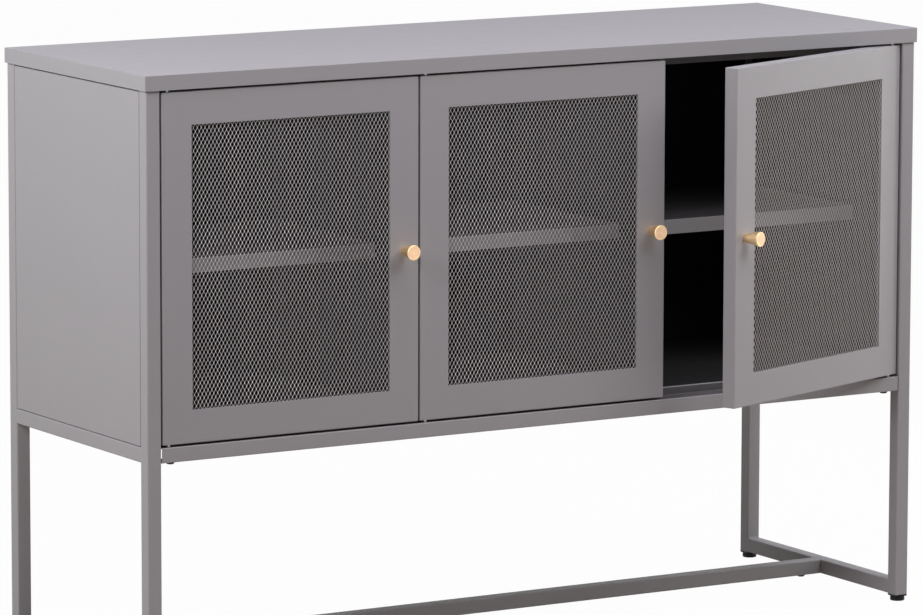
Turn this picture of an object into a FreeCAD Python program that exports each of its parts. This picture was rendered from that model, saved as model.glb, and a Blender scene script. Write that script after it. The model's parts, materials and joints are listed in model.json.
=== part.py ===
"""Steel sideboard on open legs with three doors of expanded metal.

Millimetres. X runs to the right, Y to the back and Z up. The origin lies on the floor, under the
middle of the cabinet, and the legs' front faces look towards -Y. The right door stands ajar.
"""
import FreeCAD, Part
import os
import re

import Sketcher
from FreeCAD import Placement, Rotation, Vector

SIZES = (
    # Top, end frames and the sheet they are covered with.
    ("top_width", 1200, "top, over its side skirts"),
    ("top_depth", 395, "top, over its front and rear skirts"),
    ("height", 800, "floor to the face of the top"),
    ("overhang", 2.5, "top skirt beyond the legs"),
    ("skirt", 20, "height of the top's skirt"),
    ("skirt_return", 25, "flange folded in under the front skirt"),
    ("top_edge", 1.5, "radius of the top's folded edges"),
    ("tube", 20, "side of the square tube"),
    ("tube_wall", 1.2, "wall of the square tube"),
    ("tube_corner", 2, "outer corner radius of the square tube"),
    ("sheet", 1, "sheet steel of the panels"),
    ("seam", 1, "open seam round the side panels"),
    ("seam_depth", 2, "depth of that seam"),
    ("panel_inset", 0.5, "side panels behind the tube's outer face"),
    ("fit", 0.3, "slip clearance between parts that are fitted together"),
    ("overrun", 5, "how far every cutting shape runs past the metal"),
    # Bottom panel and the door stops.
    ("underside", 297, "floor to the underside of the bottom panel"),
    ("lip", 20, "height of the bottom panel's front lip"),
    ("lip_edge", 1.5, "radius of the lip's folded edges"),
    ("bottom_flange", 20, "flanges folded in under the bottom panel"),
    ("stop_depth", 26, "legs' front faces to the door stops"),
    ("stop_height", 12, "height of the door stops"),
    ("stop_flange", 20, "flange that holds the upper stop to the top"),
    ("back_inset", 3, "back panel inside the legs' outer faces"),
    # Feet.
    ("foot_height", 6.5, "levelling foot under its cap"),
    ("foot_diameter", 20, "levelling foot"),
    ("foot_edge", 1, "rounded rim of the levelling foot"),
    ("stud_diameter", 8, "threaded stud of the levelling foot"),
    ("stud_length", 12, "threaded stud of the levelling foot"),
    ("cap_flange", 2.5, "end cap under the leg"),
    ("cap_plug", 14, "end cap inside the leg"),
    # Doors.
    ("door_depth", 20, "door pan, front to back"),
    ("door_gap", 2.5, "upright gaps beside the doors"),
    ("door_clear", 3, "gaps over and under the doors"),
    ("door_flange", 10, "rear flange of the door pan"),
    ("door_edge", 1.5, "radius of the door's folded edges"),
    ("stile", 43.5, "plain border round the window"),
    ("ajar_angle", 20.6, "degrees that the right door stands open"),
    ("mesh_thickness", 1.2, "expanded metal"),
    ("mesh_overlap", 12, "expanded metal held behind the border"),
    ("mesh_pitch_across", 21, "spacing of the diamonds, side to side"),
    ("mesh_pitch_up", 36, "spacing of the diamonds, up and down"),
    ("mesh_strand", 3.6, "width of the strands between the diamonds"),
    # Hinges.
    ("pin_diameter", 5, "hinge pin"),
    ("pin_inset", 11, "hinge pin from the door's hinge edge"),
    ("pin_setback", 6.5, "hinge pin behind the door's face"),
    ("pin_grip", 8, "hinge pin inside the door, above or below its head"),
    ("pin_reach", 13, "hinge pin beyond the door's edge"),
    ("pin_head", 9, "head of the hinge pin"),
    ("pin_head_height", 2, "head of the hinge pin"),
    ("pin_play", 0.05, "running clearance round the hinge pin"),
    ("pin_end_play", 0.2, "hinge pin above the floor of its bush"),
    ("bush_diameter", 8, "hinge bush"),
    ("bush_flange", 10, "flange of the hinge bush"),
    ("bush_flange_height", 1.5, "flange of the hinge bush"),
    ("bush_floor", 2.5, "closed end of the hinge bush"),
    # Knobs and catches.
    ("knob_inset", 22, "knob from the door's free edge"),
    ("knob_length", 26, "knob, door to face"),
    ("knob_base", 11, "knob at the door"),
    ("knob_face", 20, "knob at its face"),
    ("knob_rim", 2, "rim of the knob"),
    ("knob_bevel", 0.8, "bevel round the knob's face"),
    ("knob_bore", 13, "threaded bore of the knob"),
    ("screw_diameter", 4, "knob screw"),
    ("screw_reach", 11, "knob screw inside the knob"),
    ("screw_head", 8, "head of the knob screw"),
    ("screw_head_height", 2.5, "head of the knob screw"),
    ("catch_width", 9, "magnetic catch, beside its partition"),
    ("catch_depth", 24, "magnetic catch, front to back"),
    ("catch_height", 40, "magnetic catch"),
    # Inside.
    ("partition_setback", 30, "partitions behind the legs' front faces"),
    ("partition_flange", 15, "rear flange of the partitions"),
    ("partition_headroom", 2, "partitions under the top"),
    ("shelf_height", 543, "floor to the shelves' top face"),
    ("shelf_setback", 113, "shelves behind the legs' front faces"),
    ("shelf_lip", 20, "front lip of the shelves"),
    ("shelf_rear_lip", 15, "rear lip of the shelves"),
    ("shelf_end_gap", 1.5, "gaps at the shelves' ends"),
    ("bearer_leg", 15, "legs of the shelf bearers"),
    ("bearer_wall", 1.2, "metal of the shelf bearers"),
    ("bearer_gap", 1.5, "bearers behind the shelf's lip"),
    # Fasteners.
    ("bolt_diameter", 6, "bolts and studs"),
    ("bolt_head", 11, "button head of the bolts"),
    ("bolt_head_height", 3.3, "button head of the bolts"),
    ("bolt_tail", 1.5, "bolts beyond their tabs"),
    ("bolt_inset", 18, "panel bolts from the legs' inner faces"),
    ("hole_play", 0.1, "clearance round bolts, rivets and bushes"),
    ("nut_width", 10, "hexagon nuts across their flats"),
    ("nut_height", 5, "hexagon nuts"),
    ("tab_length", 34, "tabs beyond the legs' inner faces"),
    ("tab_width", 14, "tabs, front to back"),
    ("tab_wall", 2.5, "metal of the tabs"),
    ("tab_inset", 3, "tabs behind the legs' faces"),
    ("top_tab_place", 120, "top's tabs before and behind the middle"),
    ("top_tab_leg", 16, "legs of the top's tabs"),
    ("stud_tail", 8, "studs under their tabs"),
    ("rivet_diameter", 4, "rivets"),
    ("rivet_head", 8, "rivet heads"),
    ("rivet_head_height", 1.2, "rivet heads"),
    ("rivet_tail", 2, "rivets beyond the metal"),
    ("rivet_edge", 20, "rivets from the ends of what they hold"),
    ("spigot_length", 40, "spigots inside the stretcher bar"),
    ("stretcher_bolt_inset", 26, "stretcher bolts from the bar's ends"),
)

doc = FreeCAD.newDocument("sideboard")
sizes = doc.addObject("Spreadsheet::Sheet", "Sizes")
for row, (alias, value, meaning) in enumerate(SIZES, 1):
    sizes.set(f"A{row}", meaning)
    sizes.set(f"B{row}", str(value))
    sizes.setAlias(f"B{row}", alias)
doc.recompute()
ALIASES = {alias for alias, value, meaning in SIZES}

# Places that many pieces share, written in the sizes above.
OUTER = "(top_width / 2 - overhang)"
INNER = "(top_width / 2 - overhang - tube)"
BACK = "(top_depth / 2 - overhang)"
FRONT = "(overhang - top_depth / 2)"
LEG_END = "(foot_height + cap_flange)"
UNDER_TOP = "(height - sheet)"
SKIRT_END = "(height - skirt)"
LEDGE = "(underside + lip)"
FLOOR = "(underside + lip + stop_height)"
STOP = f"({FRONT} + stop_depth)"
DOOR_WIDTH = f"((2 * {INNER} - 4 * door_gap) / 3)"
DOOR_HEIGHT = f"({SKIRT_END} - {LEDGE} - 2 * door_clear)"
PARTITION = f"(({DOOR_WIDTH} + door_gap) / 2)"
SHELF_UNDER = "(shelf_height - sheet)"
SHELF_FRONT = f"({FRONT} + shelf_setback)"
INNER_CORNER = "max(tube_corner - tube_wall; tube_corner / 4)"
BEARER_FRONT = f"({SHELF_FRONT} + sheet + bearer_gap)"
BEARER_BACK = f"({BACK} - tube - fit)"

TURNS = {"x": Rotation(Vector(0, 1, 0), 90), "y": Rotation(Vector(1, 0, 0), -90), "z": Rotation()}

subparts = []


def formula(text):
    """Spell out each size's name as the expressions want it: tube becomes Sizes.tube."""
    return re.sub(r"[a-z]\w*", lambda word: f"Sizes.{word[0]}" if word[0] in ALIASES else word[0], text)


def number(text):
    """The present value of an expression."""
    return float(sizes.evalExpression(formula(text)))


def minus(text):
    """The same place on the other side of the middle."""
    return f"(-{text})"


def place(piece, x="0", y="0", z="0"):
    """Bind the place of an object's own origin."""
    for axis, text in zip("xyz", (x, y, z)):
        piece.setExpression(f"Placement.Base.{axis}", formula(text))


def subpart(label, piece):
    """Keep an object as one sub-part, under the name that its file gets."""
    piece.Label = label
    subparts.append(piece)
    return piece


def box(name, x, y, z):
    """A block between two places along each axis."""
    piece = doc.addObject("Part::Box", name)
    for side, (low, high) in zip(("Length", "Width", "Height"), (x, y, z)):
        piece.setExpression(side, formula(f"({high}) - ({low})"))
    place(piece, x[0], y[0], z[0])
    return piece


def rod(name, diameter, x, y, z):
    """A cylinder along the axis whose place is given as a pair of ends."""
    piece = doc.addObject("Part::Cylinder", name)
    piece.setExpression("Radius", formula(f"({diameter}) / 2"))
    spots = {"x": x, "y": y, "z": z}
    axis = next(axis for axis, spot in spots.items() if isinstance(spot, tuple))
    low, high = spots[axis]
    piece.setExpression("Height", formula(f"({high}) - ({low})"))
    piece.Placement = Placement(Vector(), TURNS[axis])
    place(piece, **{**spots, axis: low})
    return piece


def join(name, pieces):
    """One solid, or one cutting shape, of several."""
    piece = doc.addObject("Part::MultiFuse", name)
    piece.Shapes = list(pieces)
    return piece


def group(name, pieces):
    """Several separate solids in one sub-part."""
    piece = doc.addObject("Part::Compound", name)
    piece.Links = list(pieces)
    return piece


def cut(name, base, tools):
    """A shape less one or more cutting shapes."""
    piece = doc.addObject("Part::Cut", name)
    piece.Base = base
    piece.Tool = tools[0] if len(tools) == 1 else join(f"{name}_cuts", tools)
    return piece


def rounded(name, base, radius, chosen):
    """Round the edges for which chosen(edge) is true."""
    doc.recompute()
    piece = doc.addObject("Part::Fillet", name)
    piece.Base = base
    bend = number(radius)
    edges = enumerate(base.Shape.Edges, 1)
    piece.Edges = [(index, bend, bend) for index, edge in edges if chosen(edge)]
    return piece


def sketch_on(body, role):
    """An empty sketch on one of a body's own origin planes."""
    sketch = body.newObject("Sketcher::SketchObject", f"{body.Name}_sketch")
    plane = next(feature for feature in body.Origin.OriginFeatures if feature.Role == role)
    sketch.AttachmentSupport = [(plane, "")]
    sketch.MapMode = "FlatFace"
    return sketch


def outline(sketch, corners):
    """A closed outline of straight lines, with every corner bound to its place."""
    first = sketch.GeometryCount
    spots = [Vector(number(across), number(up), 0) for across, up in corners]
    sketch.addGeometry([Part.LineSegment(*ends) for ends in zip(spots, spots[1:] + spots[:1])])
    for index, corner in enumerate(corners):
        before = first + (index - 1) % len(corners)
        sketch.addConstraint(Sketcher.Constraint("Coincident", before, 2, first + index, 1))
        for kind, text in zip(("DistanceX", "DistanceY"), corner):
            bond = Sketcher.Constraint(kind, -1, 1, first + index, 1, number(text))
            sketch.setExpression(f"Constraints[{sketch.addConstraint(bond)}]", formula(text))


def rounded_square(sketch, width, radius):
    """A square about the sketch's origin with rounded corners."""
    first = sketch.GeometryCount
    half = number(width) / 2
    bend = number(radius)
    flat = half - bend
    ends = [(flat, half), (-flat, half), (-half, flat), (-half, -flat)]
    ends += [(-flat, -half), (flat, -half), (half, -flat), (half, flat)]
    middles = [(-flat, flat), (-flat, -flat), (flat, -flat), (flat, flat)]
    for side, middle in enumerate(middles):
        line = [Vector(*end, 0) for end in ends[2 * side : 2 * side + 2]]
        sketch.addGeometry(Part.LineSegment(*line))
        circle = Part.Circle(Vector(*middle, 0), Vector(0, 0, 1), bend)
        start = Vector(*ends[2 * side + 1], 0)
        stop = Vector(*ends[(2 * side + 2) % len(ends)], 0)
        sketch.addGeometry(Part.ArcOfCircle(circle, circle.parameter(start), circle.parameter(stop)))
    last = first + 2 * len(middles)
    for side in range(len(middles)):
        line = first + 2 * side
        arc = line + 1
        after = line + 2 if line + 2 < last else first
        sketch.addConstraint(Sketcher.Constraint("Tangent", line, 2, arc, 1))
        sketch.addConstraint(Sketcher.Constraint("Tangent", arc, 2, after, 1))
        sketch.addConstraint(Sketcher.Constraint("Vertical" if side % 2 else "Horizontal", line))
        if side:
            sketch.addConstraint(Sketcher.Constraint("Equal", first + 1, arc))
    size = sketch.addConstraint(Sketcher.Constraint("Radius", first + 1, bend))
    sketch.setExpression(f"Constraints[{size}]", formula(radius))
    # The corner centres at upper left and lower right hold the square about the origin.
    sketch.addConstraint(Sketcher.Constraint("Symmetric", first + 1, 3, first + 5, 3, -1, 1))
    for kind, low, high in (("DistanceX", first + 1, first + 5), ("DistanceY", first + 5, first + 1)):
        bond = sketch.addConstraint(Sketcher.Constraint(kind, low, 3, high, 3, 2 * flat))
        sketch.setExpression(f"Constraints[{bond}]", formula(f"{width} - 2 * ({radius})"))


def pad(body, sketch, length):
    """Grow a sketch into a solid along its normal."""
    feature = body.newObject("PartDesign::Pad", f"{body.Name}_pad")
    feature.Profile = sketch
    feature.setExpression("Length", formula(length))
    return body


def bar(name, width, radius, length, along="z", hollow=False):
    """Square bar or tube from its own origin, with its centre line along one axis."""
    body = doc.addObject("PartDesign::Body", name)
    section = sketch_on(body, "XY_Plane")
    rounded_square(section, width, radius)
    if hollow:
        rounded_square(section, f"({width} - 2 * tube_wall)", INNER_CORNER)
    body.Placement = Placement(Vector(), TURNS[along])
    return pad(body, section, length)


def tube(name, length, along, x, y, z):
    """A length of the square tube, placed by the middle of its first end."""
    piece = bar(name, "tube", "tube_corner", length, along, hollow=True)
    place(piece, x, y, z)
    return piece


def profile(name, role, corners, length):
    """A straight length of one section, drawn on a plane of the body."""
    body = doc.addObject("PartDesign::Body", name)
    section = sketch_on(body, role)
    outline(section, corners)
    return pad(body, section, length)


def turned(name, corners):
    """A round piece: half of its section, as radius and place, spun about the Y axis."""
    body = doc.addObject("PartDesign::Body", name)
    section = sketch_on(body, "XY_Plane")
    outline(section, corners)
    feature = body.newObject("PartDesign::Revolution", f"{name}_turn")
    feature.Profile = section
    feature.ReferenceAxis = (section, ["V_Axis"])
    feature.Angle = 360
    return body


def folded(path, metal):
    """Outline of a sheet folded square along a path, with its metal to the left of the path."""
    spots = [(number(across), number(up)) for across, up in path]
    inside = []
    for index, (across, up) in enumerate(path):
        beside = ((index - 1, index), (index, index + 1))
        for first, last in [pair for pair in beside if 0 <= pair[0] and pair[1] < len(path)]:
            run = spots[last][0] - spots[first][0]
            rise = spots[last][1] - spots[first][1]
            if abs(run) > abs(rise):
                up = f"{up} {'+' if run > 0 else '-'} {metal}"
            else:
                across = f"{across} {'-' if rise > 0 else '+'} {metal}"
        inside.append((across, up))
    return list(path) + inside[::-1]


def rivet(name, axis, ends, tail_first, **spot):
    """A rivet along one axis through metal between two ends, with its head at one of them."""
    low, high = ends
    if tail_first:
        shank = (f"{low} - rivet_tail", high)
        head = (high, f"{high} + rivet_head_height")
    else:
        shank = (low, f"{high} + rivet_tail")
        head = (f"{low} - rivet_head_height", low)
    pieces = [rod(f"{name}_shank", "rivet_diameter", **{**spot, axis: shank})]
    pieces.append(rod(f"{name}_head", "rivet_head", **{**spot, axis: head}))
    return join(name, pieces)


def rivet_hole(name, axis, ends, **spot):
    """The clearance hole for such a rivet, cut through the same metal and past it."""
    low, high = ends
    through = (f"{low} - rivet_tail", f"{high} + rivet_tail")
    return rod(name, "rivet_diameter + 2 * hole_play", **{**spot, axis: through})


def bolt_up(name, x, y, seat, reach):
    """A button-head bolt that comes up from under its seat."""
    pieces = [rod(f"{name}_shank", "bolt_diameter", x, y, (seat, f"{seat} + {reach}"))]
    pieces.append(rod(f"{name}_head", "bolt_head", x, y, (f"{seat} - bolt_head_height", seat)))
    return join(name, pieces)


# An edge that lies within this of a face belongs to it.
NEAR = number("sheet / 4")
SIDES = (("left", minus), ("right", lambda text: text))
LEG_X = f"({OUTER} - tube / 2)"
LEG_Y = f"({BACK} - tube / 2)"
BACK_RIVETS = (
    f"({FLOOR} + rivet_edge)",
    f"(({FLOOR} + {UNDER_TOP}) / 2)",
    f"({UNDER_TOP} - skirt - rivet_edge)",
)
LEG_TO_BACK = (f"({BACK} - tube_wall)", f"({BACK} + sheet)")
BEARER_RIVETS = (f"({BEARER_FRONT} + rivet_edge)", f"({BEARER_BACK} - rivet_edge)")
BEARER_RIVET_Z = f"({SHELF_UNDER} - bearer_leg / 2 - bearer_wall / 2)"


def inward(side, depth):
    """From a leg's inner face into the cabinet by a depth, low end first."""
    if side == "left":
        return (minus(INNER), f"{minus(INNER)} + {depth}")
    return (f"{INNER} - {depth}", INNER)


# End frames: two legs and three rails of square tube, welded.
for side, hand in SIDES:
    length = f"{UNDER_TOP} - {LEG_END}"
    subpart(f"{side}_front_leg", tube(f"{side}_front_leg", length, "z", hand(LEG_X), minus(LEG_Y), LEG_END))
    leg = tube(f"{side}_rear_leg_tube", length, "z", hand(LEG_X), LEG_Y, LEG_END)
    holes = []
    for index, up in enumerate(BACK_RIVETS):
        holes.append(rivet_hole(f"{side}_leg_hole_{index}", "y", LEG_TO_BACK, x=hand(LEG_X), z=up))
    subpart(f"{side}_rear_leg", cut(f"{side}_rear_leg", leg, holes))
    rail = f"2 * ({BACK} - tube)"
    rail_start = f"(tube - {BACK})"
    for name, middle in (
        ("top_rail", f"{UNDER_TOP} - tube / 2"),
        ("middle_rail", "underside + tube / 2"),
        ("floor_rail", f"{LEG_END} + tube / 2"),
    ):
        subpart(f"{side}_{name}", tube(f"{side}_{name}", rail, "y", hand(LEG_X), rail_start, middle))

# Side panels: flat boxes of sheet let into the end frames, with an open seam round the outer skin.
for side, hand in SIDES:
    skin = f"({OUTER} - panel_inset)"
    shoulder = f"({OUTER} - panel_inset - seam_depth)"
    deep = f"({BACK} - tube)"
    low = "(underside + tube)"
    high = f"({UNDER_TOP} - tube)"
    across = (INNER, shoulder) if side == "right" else (minus(shoulder), minus(INNER))
    core = box(f"{side}_panel_core", across, (minus(deep), deep), (low, high))
    across = (shoulder, skin) if side == "right" else (minus(skin), minus(shoulder))
    face_depth = f"({deep} - seam)"
    face_up = (f"{low} + seam", f"{high} - seam")
    face = box(f"{side}_panel_face", across, (minus(face_depth), face_depth), face_up)
    across = (f"({INNER} + sheet)", f"({skin} - sheet)")
    if side == "left":
        across = (minus(across[1]), minus(across[0]))
    hollow_depth = f"({deep} - seam - sheet)"
    hollow_up = (f"{low} + seam + sheet", f"{high} - seam - sheet")
    cuts = [box(f"{side}_panel_hollow", across, (minus(hollow_depth), hollow_depth), hollow_up)]
    wall = inward(side, "bearer_wall")
    wall = (wall[0], f"{wall[1]} + sheet") if side == "right" else (f"{wall[0]} - sheet", wall[1])
    for index, deep_place in enumerate(BEARER_RIVETS):
        cuts.append(rivet_hole(f"{side}_panel_hole_{index}", "x", wall, y=deep_place, z=BEARER_RIVET_Z))
    subpart(f"{side}_side_panel", cut(f"{side}_side_panel", join(f"{side}_panel_skins", [core, face]), cuts))

# Stretcher bar between the floor rails: a tube slipped over two welded spigots and bolted from below.
bar_end = f"({INNER} - fit)"
bolt_x = f"({bar_end} - stretcher_bolt_inset)"
rail_middle = f"({LEG_END} + tube / 2)"
stretcher = tube("stretcher_tube", f"2 * {bar_end}", "x", minus(bar_end), "0", rail_middle)
bolt_holes = []
spigots = []
stretcher_bolts = []
for side, hand in SIDES:
    through = (f"{LEG_END} - overrun", f"{LEG_END} + tube_wall + overrun")
    hole = rod(f"{side}_bar_hole", "bolt_diameter + 2 * hole_play", hand(bolt_x), "0", through)
    bolt_holes.append(hole)
    plug = "(tube / 2 - tube_wall - fit)"
    across = inward(side, "spigot_length")
    up = (f"{rail_middle} - {plug}", f"{rail_middle} + {plug}")
    block = box(f"{side}_spigot_block", across, (minus(plug), plug), up)
    thread_end = (f"{LEG_END} - overrun", f"{rail_middle} + {plug} + overrun")
    thread = rod(f"{side}_spigot_hole", "bolt_diameter + 2 * hole_play", hand(bolt_x), "0", thread_end)
    spigots.append(cut(f"{side}_spigot", block, [thread]))
    stretcher_bolts.append(bolt_up(f"{side}_bar_bolt", hand(bolt_x), "0", LEG_END, "tube - 2 * tube_wall"))
subpart("stretcher_bar", cut("stretcher_bar", stretcher, bolt_holes))
subpart("stretcher_spigots", group("stretcher_spigots", spigots))
subpart("stretcher_bolts", group("stretcher_bolts", stretcher_bolts))

# Black end caps plugged into the legs, and levelling feet screwed into the caps.
caps = []
feet = []
for side, hand in SIDES:
    for end, turn in (("front", minus), ("rear", lambda text: text)):
        name = f"{side}_{end}"
        flange = bar(f"{name}_cap_flange", "tube", "tube_corner", "cap_flange")
        place(flange, hand(LEG_X), turn(LEG_Y), "foot_height")
        plug = bar(f"{name}_cap_plug", "(tube - 2 * tube_wall - 2 * fit)", INNER_CORNER, "cap_plug")
        place(plug, hand(LEG_X), turn(LEG_Y), LEG_END)
        through = ("foot_height - overrun", f"{LEG_END} + cap_plug + overrun")
        bore = rod(f"{name}_cap_bore", "stud_diameter + 2 * hole_play", hand(LEG_X), turn(LEG_Y), through)
        caps.append(cut(f"{name}_cap", join(f"{name}_cap_solid", [flange, plug]), [bore]))
        half = "foot_diameter / 2"
        foot = turned(
            f"{name}_foot",
            [
                ("0", "0"),
                (f"{half} - foot_edge", "0"),
                (half, "foot_edge"),
                (half, "foot_height"),
                ("stud_diameter / 2", "foot_height"),
                ("stud_diameter / 2", "foot_height + stud_length"),
                ("0", "foot_height + stud_length"),
            ],
        )
        foot.Placement = Placement(Vector(), Rotation(Vector(1, 0, 0), 90))
        place(foot, hand(LEG_X), turn(LEG_Y))
        feet.append(foot)
subpart("leg_end_caps", group("leg_end_caps", caps))
subpart("levelling_feet", group("levelling_feet", feet))

# Hinge places: name of the door, X of its pin, and +1 for a door that runs to the right of its pin.
PIN_Y = f"({FRONT} + pin_setback)"
DOORS = (
    ("left", f"(door_gap + pin_inset - {INNER})", 1),
    ("middle", f"(pin_inset - {DOOR_WIDTH} / 2)", 1),
    ("right", f"({INNER} - door_gap - pin_inset)", -1),
)


def below_face(face, up, *depths):
    """Places at these depths behind a face that looks down (+1) or up (-1), low end first."""
    spots = [f"{face} {'+' if up > 0 else '-'} ({depth})" for depth in depths]
    return tuple(spots[::up])


# Hinge bushes: nylon cups set flush in the ledge and, upside down, in the return under the front skirt.
bushes = []
top_bush_holes = []
ledge_bush_holes = []
BUSH_BORE = "(pin_reach - door_clear + pin_end_play)"
for door, pin_x, hand in DOORS:
    for level, face, up, holes in (
        ("lower", LEDGE, -1, ledge_bush_holes),
        ("upper", SKIRT_END, 1, top_bush_holes),
    ):
        name = f"{door}_{level}_bush"
        barrel_ends = below_face(face, up, "0", f"{BUSH_BORE} + bush_floor")
        barrel = rod(f"{name}_barrel", "bush_diameter", pin_x, PIN_Y, barrel_ends)
        rim_ends = below_face(face, up, "sheet", "sheet + bush_flange_height")
        rim = rod(f"{name}_rim", "bush_flange", pin_x, PIN_Y, rim_ends)
        bore_ends = below_face(face, up, "-overrun", BUSH_BORE)
        bore = rod(f"{name}_bore", "pin_diameter + 2 * pin_play", pin_x, PIN_Y, bore_ends)
        bushes.append(cut(name, join(f"{name}_solid", [barrel, rim]), [bore]))
        through = below_face(face, up, "-overrun", "sheet + overrun")
        holes.append(rod(f"{name}_hole", "bush_diameter + 2 * hole_play", pin_x, PIN_Y, through))
subpart("hinge_bushes", group("hinge_bushes", bushes))

# Top: a sheet with skirts welded under its edges; the front one has a return between the legs.
half_top = "(top_width / 2)"
deep_top = "(top_depth / 2)"
across_top = (minus(half_top), half_top)
along_top = (minus(deep_top), deep_top)
block = box("top_block", across_top, along_top, (SKIRT_END, "height"))
brink = number("height")
shell = rounded("top_shell", block, "top_edge", lambda edge: edge.BoundBox.ZMax > brink - NEAR)


def top_piece(name, x, y, z):
    """The part of the rounded top between two places along each axis."""
    piece = doc.addObject("Part::Common", name)
    piece.Base = shell
    piece.Tool = box(f"{name}_bounds", x, y, z)
    return piece


half_hollow = f"({half_top} - sheet)"
deep_hollow = f"({deep_top} - sheet)"
between_sides = (minus(half_hollow), half_hollow)
skirt_up = (SKIRT_END, UNDER_TOP)
subpart("top_panel", top_piece("top_panel", across_top, along_top, (UNDER_TOP, "height")))
left_skirt = top_piece("left_skirt", (minus(half_top), minus(half_hollow)), along_top, skirt_up)
right_skirt = top_piece("right_skirt", (half_hollow, half_top), along_top, skirt_up)
subpart("top_side_skirts", group("top_side_skirts", [left_skirt, right_skirt]))
rear_skirt = top_piece("top_rear_skirt", between_sides, (deep_hollow, deep_top), skirt_up)
subpart("top_rear_skirt", rear_skirt)
front_skirt = top_piece("front_skirt", between_sides, (minus(deep_top), minus(deep_hollow)), skirt_up)
half_return = f"({INNER} - fit)"
return_deep = (minus(deep_hollow), f"{minus(deep_top)} + skirt_return")
return_up = (SKIRT_END, f"{SKIRT_END} + sheet")
strip = box("top_return", (minus(half_return), half_return), return_deep, return_up)
front_fold = join("front_skirt_fold", [front_skirt, strip])
subpart("top_front_skirt", cut("top_front_skirt", front_fold, top_bush_holes))

# Upper door stop: an angle across the front, hung from the top.
path = [
    (f"{STOP} + stop_flange", UNDER_TOP),
    (STOP, UNDER_TOP),
    (STOP, f"{SKIRT_END} - stop_height"),
]
stop_length = f"2 * ({INNER} - fit)"
stop = profile("front_top_rail", "YZ_Plane", folded(path, "sheet"), stop_length)
place(stop, f"fit - {INNER}")
subpart("front_top_rail", stop)

# Tabs welded to the top rails, studs welded under the top, and the nuts that draw them together.
top_tabs = []
top_studs = []
top_nuts = []
for side, hand in SIDES:
    for end, turn in (("front", minus), ("rear", lambda text: text)):
        name = f"{side}_{end}_top"
        deep = (f"{turn('top_tab_place')} - tab_width / 2", f"{turn('top_tab_place')} + tab_width / 2")
        flat = box(f"{name}_flat", inward(side, "top_tab_leg"), deep, (f"{UNDER_TOP} - tab_wall", UNDER_TOP))
        leg_up = (f"{UNDER_TOP} - top_tab_leg", UNDER_TOP)
        upright = box(f"{name}_upright", inward(side, "tab_wall"), deep, leg_up)
        stud_x = hand(f"({INNER} - top_tab_leg / 2 - tab_wall / 2)")
        stud_y = turn("top_tab_place")
        through = (f"{UNDER_TOP} - tab_wall - overrun", f"{UNDER_TOP} + overrun")
        hole = rod(f"{name}_hole", "bolt_diameter + 2 * hole_play", stud_x, stud_y, through)
        top_tabs.append(cut(f"{name}_tab", join(f"{name}_angle", [flat, upright]), [hole]))
        stud_end = f"({UNDER_TOP} - tab_wall - stud_tail)"
        top_studs.append(rod(f"{name}_stud", "bolt_diameter", stud_x, stud_y, (stud_end, UNDER_TOP)))
        hexagon = doc.addObject("Part::Prism", f"{name}_hexagon")
        hexagon.Polygon = 6
        hexagon.setExpression("Circumradius", formula("nut_width / 2 / cos(30)"))
        hexagon.setExpression("Height", formula("nut_height"))
        place(hexagon, stud_x, stud_y, f"{UNDER_TOP} - tab_wall - nut_height")
        bore = (f"{UNDER_TOP} - tab_wall - nut_height - overrun", f"{UNDER_TOP} + overrun")
        thread = rod(f"{name}_thread", "bolt_diameter + 2 * hole_play", stud_x, stud_y, bore)
        top_nuts.append(cut(f"{name}_nut", hexagon, [thread]))
subpart("top_tabs", group("top_tabs", top_tabs))
subpart("top_studs", group("top_studs", top_studs))
subpart("top_nuts", group("top_nuts", top_nuts))

# Bottom: one sheet folded into front lip, ledge, riser, floor and rear skirt, with flanges folded under.
path = [
    (f"{FRONT} + bottom_flange", "underside"),
    (FRONT, "underside"),
    (FRONT, LEDGE),
    (STOP, LEDGE),
    (STOP, FLOOR),
    (BACK, FLOOR),
    (BACK, "underside"),
    (f"{BACK} - bottom_flange", "underside"),
]
section = folded(path[::-1], "sheet")
bottom = profile("bottom_sheet", "YZ_Plane", section, f"2 * ({INNER} - fit)")
place(bottom, f"fit - {INNER}")
doc.recompute()
lip_face = number(FRONT)


def on_lip_face(edge):
    """Long edges of the lip's front face."""
    span = edge.BoundBox
    return span.YMax < lip_face + NEAR and span.XLength > span.ZLength


bottom = rounded("bottom_folds", bottom, "lip_edge", on_lip_face)
tabs = []
panel_bolts = []
tab_cuts = []
for side, hand in SIDES:
    for end, turn in (("front", minus), ("rear", lambda text: text)):
        name = f"{side}_{end}_bottom"
        deep = [f"({BACK} - tab_inset - tab_width)", f"({BACK} - tab_inset)"]
        deep = [turn(text) for text in deep]
        deep = tuple(deep if end == "rear" else deep[::-1])
        level = "(underside + sheet)"
        plate = box(f"{name}_plate", inward(side, "tab_length"), deep, (level, f"{level} + tab_wall"))
        bolt_spot = hand(f"({INNER} - bolt_inset)"), turn(f"({BACK} - tab_inset - tab_width / 2)")
        through = ("underside - overrun", f"{level} + tab_wall + overrun")
        hole = rod(f"{name}_hole", "bolt_diameter + 2 * hole_play", *bolt_spot, through)
        tabs.append(cut(f"{name}_tab", plate, [hole]))
        through = ("underside - overrun", level)
        tab_cuts.append(rod(f"{name}_cut", "bolt_diameter + 2 * hole_play", *bolt_spot, through))
        panel_bolts.append(bolt_up(f"{name}_bolt", *bolt_spot, "underside", "sheet + tab_wall + bolt_tail"))
subpart("bottom_panel", cut("bottom_panel", bottom, ledge_bush_holes + tab_cuts))
subpart("bottom_tabs", group("bottom_tabs", tabs))
subpart("bottom_bolts", group("bottom_bolts", panel_bolts))

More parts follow.
